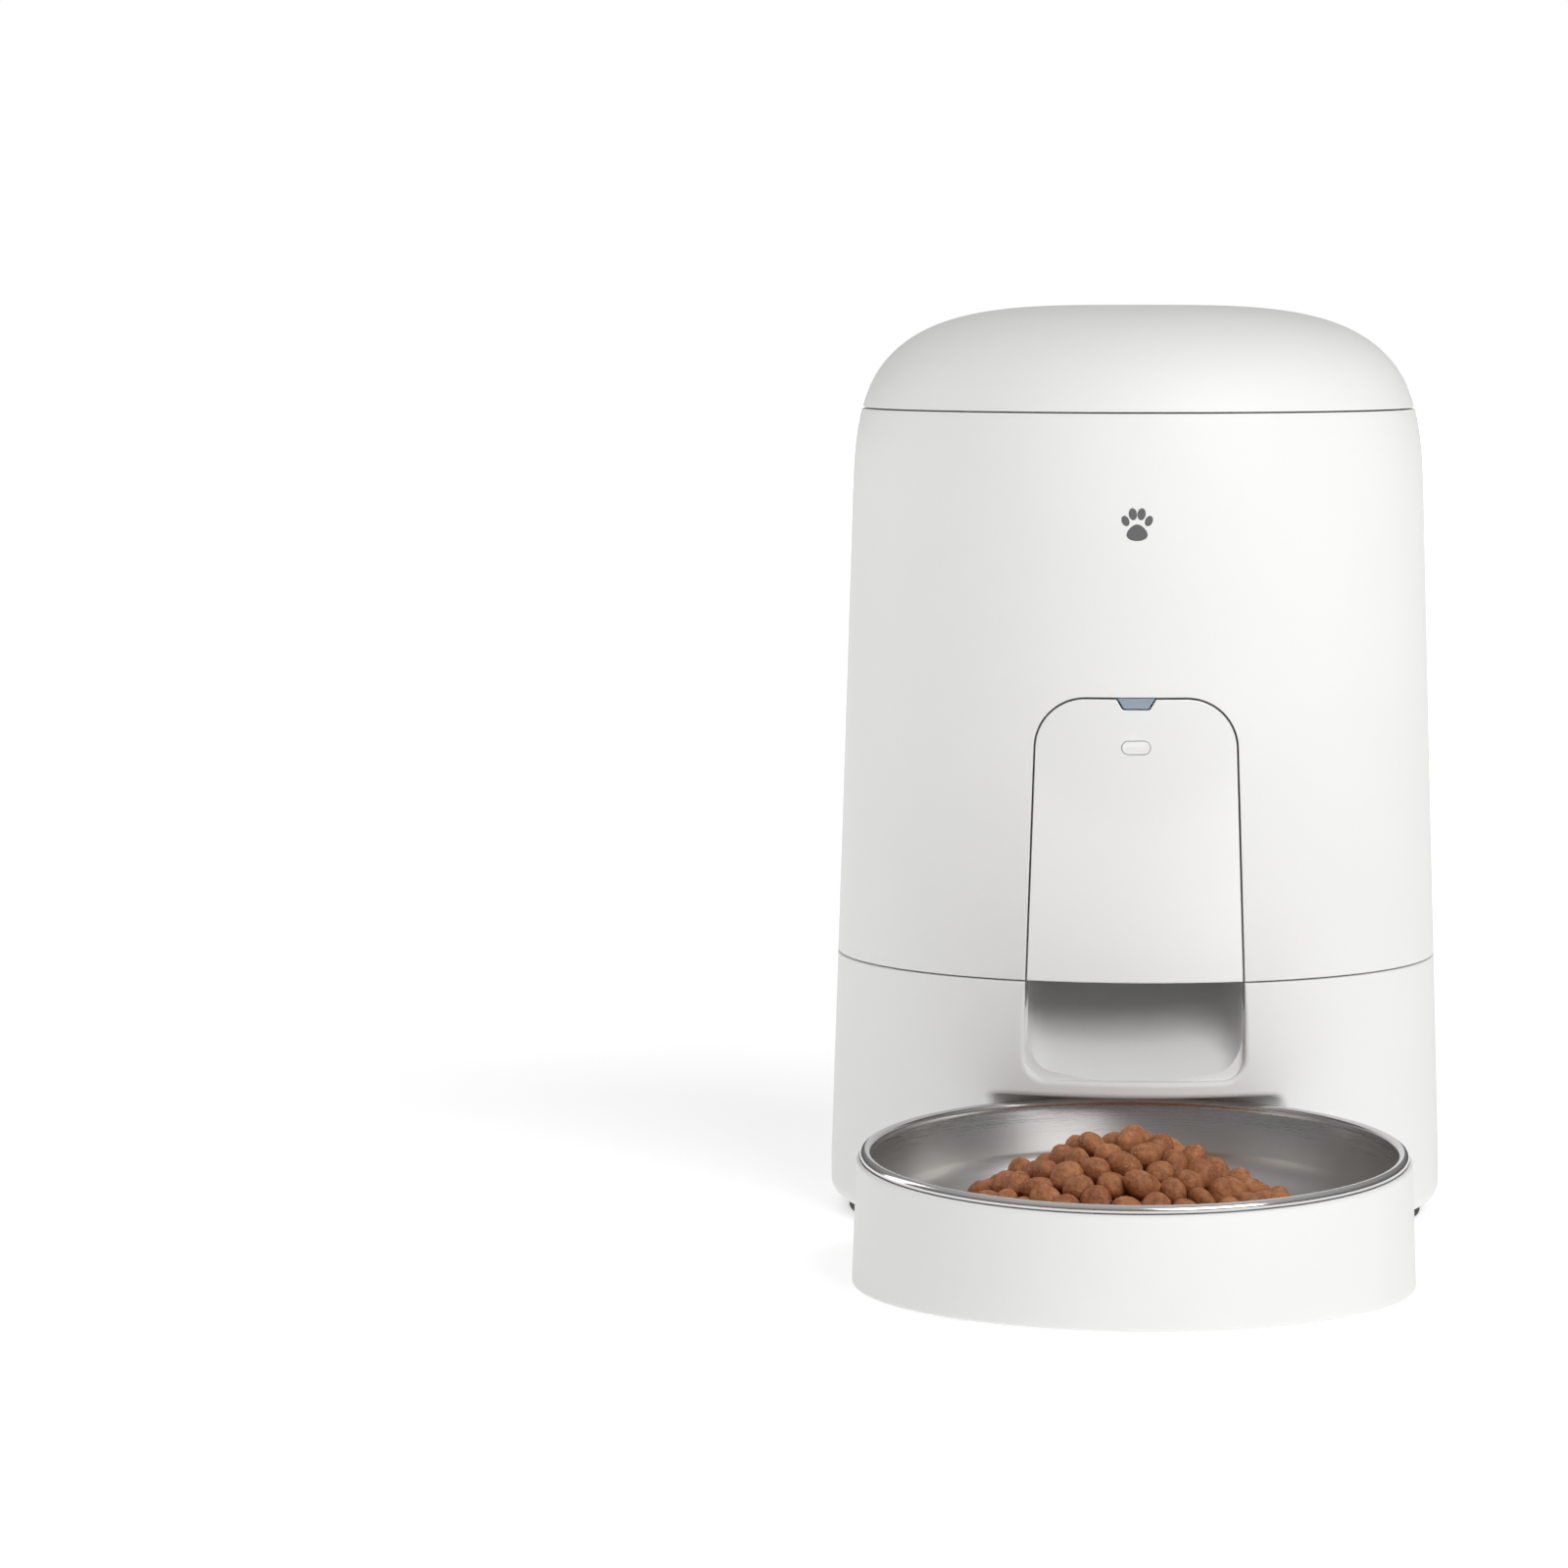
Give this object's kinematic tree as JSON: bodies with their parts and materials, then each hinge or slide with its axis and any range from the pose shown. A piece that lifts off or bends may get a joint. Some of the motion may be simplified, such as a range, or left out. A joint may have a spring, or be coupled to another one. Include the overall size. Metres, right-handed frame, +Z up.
{
  "type": "automatic pet feeder",
  "caption": "Round tapered gravity-hopper pet feeder with a lift-off lid, clip-on front cover, motor-driven portioning rotor, chute, and a pull-out tray holding a steel bowl.",
  "frame": {"origin": "on the body's axis, on the surface the feeder stands on", "axes": "+Z up, -Y towards the front, where the bowl is, +X to the right of someone facing the front"},
  "size_m": [0.17, 0.2936, 0.252],
  "materials": {
    "white_matte_plastic": "fine-textured matte white ABS",
    "white_gloss_plastic": "polished white ABS",
    "inner_plastic": "satin food-safe plastic",
    "rotor_plastic": "blue-grey flexible plastic",
    "gear_plastic": "natural acetal",
    "steel": "spun stainless steel, satin inside, bright lip",
    "hardware_steel": "bright zinc plate",
    "brass": "turned, sintered",
    "black_rubber": "matte black rubber",
    "clear_rubber": "translucent silicone",
    "lens": "clear bluish acrylic",
    "black_plastic": "matte black moulding",
    "circuit_board": "green solder resist",
    "led": "white LED package",
    "cell_jacket": "dark printed jacket, plain",
    "bag_paper": "non-woven sachet",
    "kibble": "dry baked kibble, contents of the bowl",
    "grey_ink": "pad-printed grey ink"
  },
  "bodies": {
    "housing": {"base_housing": "white_matte_plastic", "bottom_plate": "inner_plastic", "foot_ring": "black_rubber", "bottom_screws": "hardware_steel", "tray_dock": "white_matte_plastic", "upper_housing": "white_matte_plastic", "cover_frame": "white_matte_plastic", "deck": "inner_plastic", "deck_screws": "hardware_steel", "housing_screws": "hardware_steel", "hopper": "inner_plastic", "chute": "inner_plastic", "status_lens": "lens", "front_board": "circuit_board", "key_switch": "black_plastic", "status_led": "led", "shaft_seal": "black_rubber", "motor": "hardware_steel", "gear_axles": "hardware_steel", "shaft_bushes": "brass", "gearbox_base": "inner_plastic", "gearbox_cover": "inner_plastic", "gearbox_screws": "hardware_steel", "battery_bay": "inner_plastic", "battery_cells": "cell_jacket", "battery_contacts": "hardware_steel", "control_board": "circuit_board", "board_parts": "black_plastic", "power_board": "circuit_board", "power_socket": "hardware_steel"},
    "lid": {"lid_shell": "white_matte_plastic", "lid_liner": "inner_plastic", "lid_seal": "clear_rubber", "lid_screws": "hardware_steel", "desiccant_bag": "bag_paper"},
    "desiccant_cap": {"desiccant_cap": "inner_plastic"},
    "front_cover": {"front_cover": "white_gloss_plastic"},
    "feed_key": {"feed_key": "white_gloss_plastic"},
    "tray": {"food_tray": "white_matte_plastic", "tray_pads": "black_rubber", "steel_bowl": "steel"},
    "rotor": {"rotor": "rotor_plastic", "agitator": "rotor_plastic", "drive_shaft": "hardware_steel", "output_gear": "gear_plastic"},
    "gear_b": {"gear_b": "gear_plastic"},
    "gear_a": {"gear_a": "gear_plastic"},
    "motor_rotor": {"motor_pinion": "brass", "motor_shaft": "hardware_steel"},
    "battery_door": {"battery_door": "inner_plastic"}
  },
  "joints": [
    {"name": "lid_lift", "type": "slide", "parent": "housing", "child": "lid", "axis": [0, 0, 1], "range_m": [0, 0.06]},
    {"name": "desiccant_cap_turn", "type": "hinge", "parent": "lid", "child": "desiccant_cap", "pos_m": [0, 0, 0.21], "axis": [0, 0, 1], "range_deg": [0, 30]},
    {"name": "front_cover_pull", "type": "slide", "parent": "housing", "child": "front_cover", "axis": [0, -1, 0], "range_m": [0, 0.02]},
    {"name": "feed_key_press", "type": "slide", "parent": "front_cover", "child": "feed_key", "axis": [0, 1, 0], "range_m": [0, 0.0008], "stiffness_N_per_m": 1900},
    {"name": "tray_pull", "type": "slide", "parent": "housing", "child": "tray", "axis": [0, -1, 0], "range_m": [0, 0.07]},
    {"name": "rotor_spin", "type": "hinge", "parent": "housing", "child": "rotor", "pos_m": [0, 0, 0.1], "axis": [0, 0, 1], "continuous": true},
    {"name": "gear_b_spin", "type": "hinge", "parent": "housing", "child": "gear_b", "pos_m": [-0.02255, 0.00821, 0.075], "axis": [0, 0, 1], "continuous": true},
    {"name": "gear_a_spin", "type": "hinge", "parent": "housing", "child": "gear_a", "pos_m": [-0.04573, 0.002, 0.072], "axis": [0, 0, 1], "continuous": true},
    {"name": "motor_spin", "type": "hinge", "parent": "housing", "child": "motor_rotor", "pos_m": [-0.05394, -0.02056, 0.07], "axis": [0, 0, 1], "continuous": true},
    {"name": "battery_door_swing", "type": "hinge", "parent": "housing", "child": "battery_door", "pos_m": [0, -0.01315, 0.0046], "axis": [-1, 0, 0], "range_deg": [0, 95]}
  ],
  "couplings": [
    {"joint": "gear_b_spin", "follows": "rotor_spin", "ratio": -3},
    {"joint": "gear_a_spin", "follows": "rotor_spin", "ratio": 9},
    {"joint": "motor_spin", "follows": "rotor_spin", "ratio": -27}
  ]
}
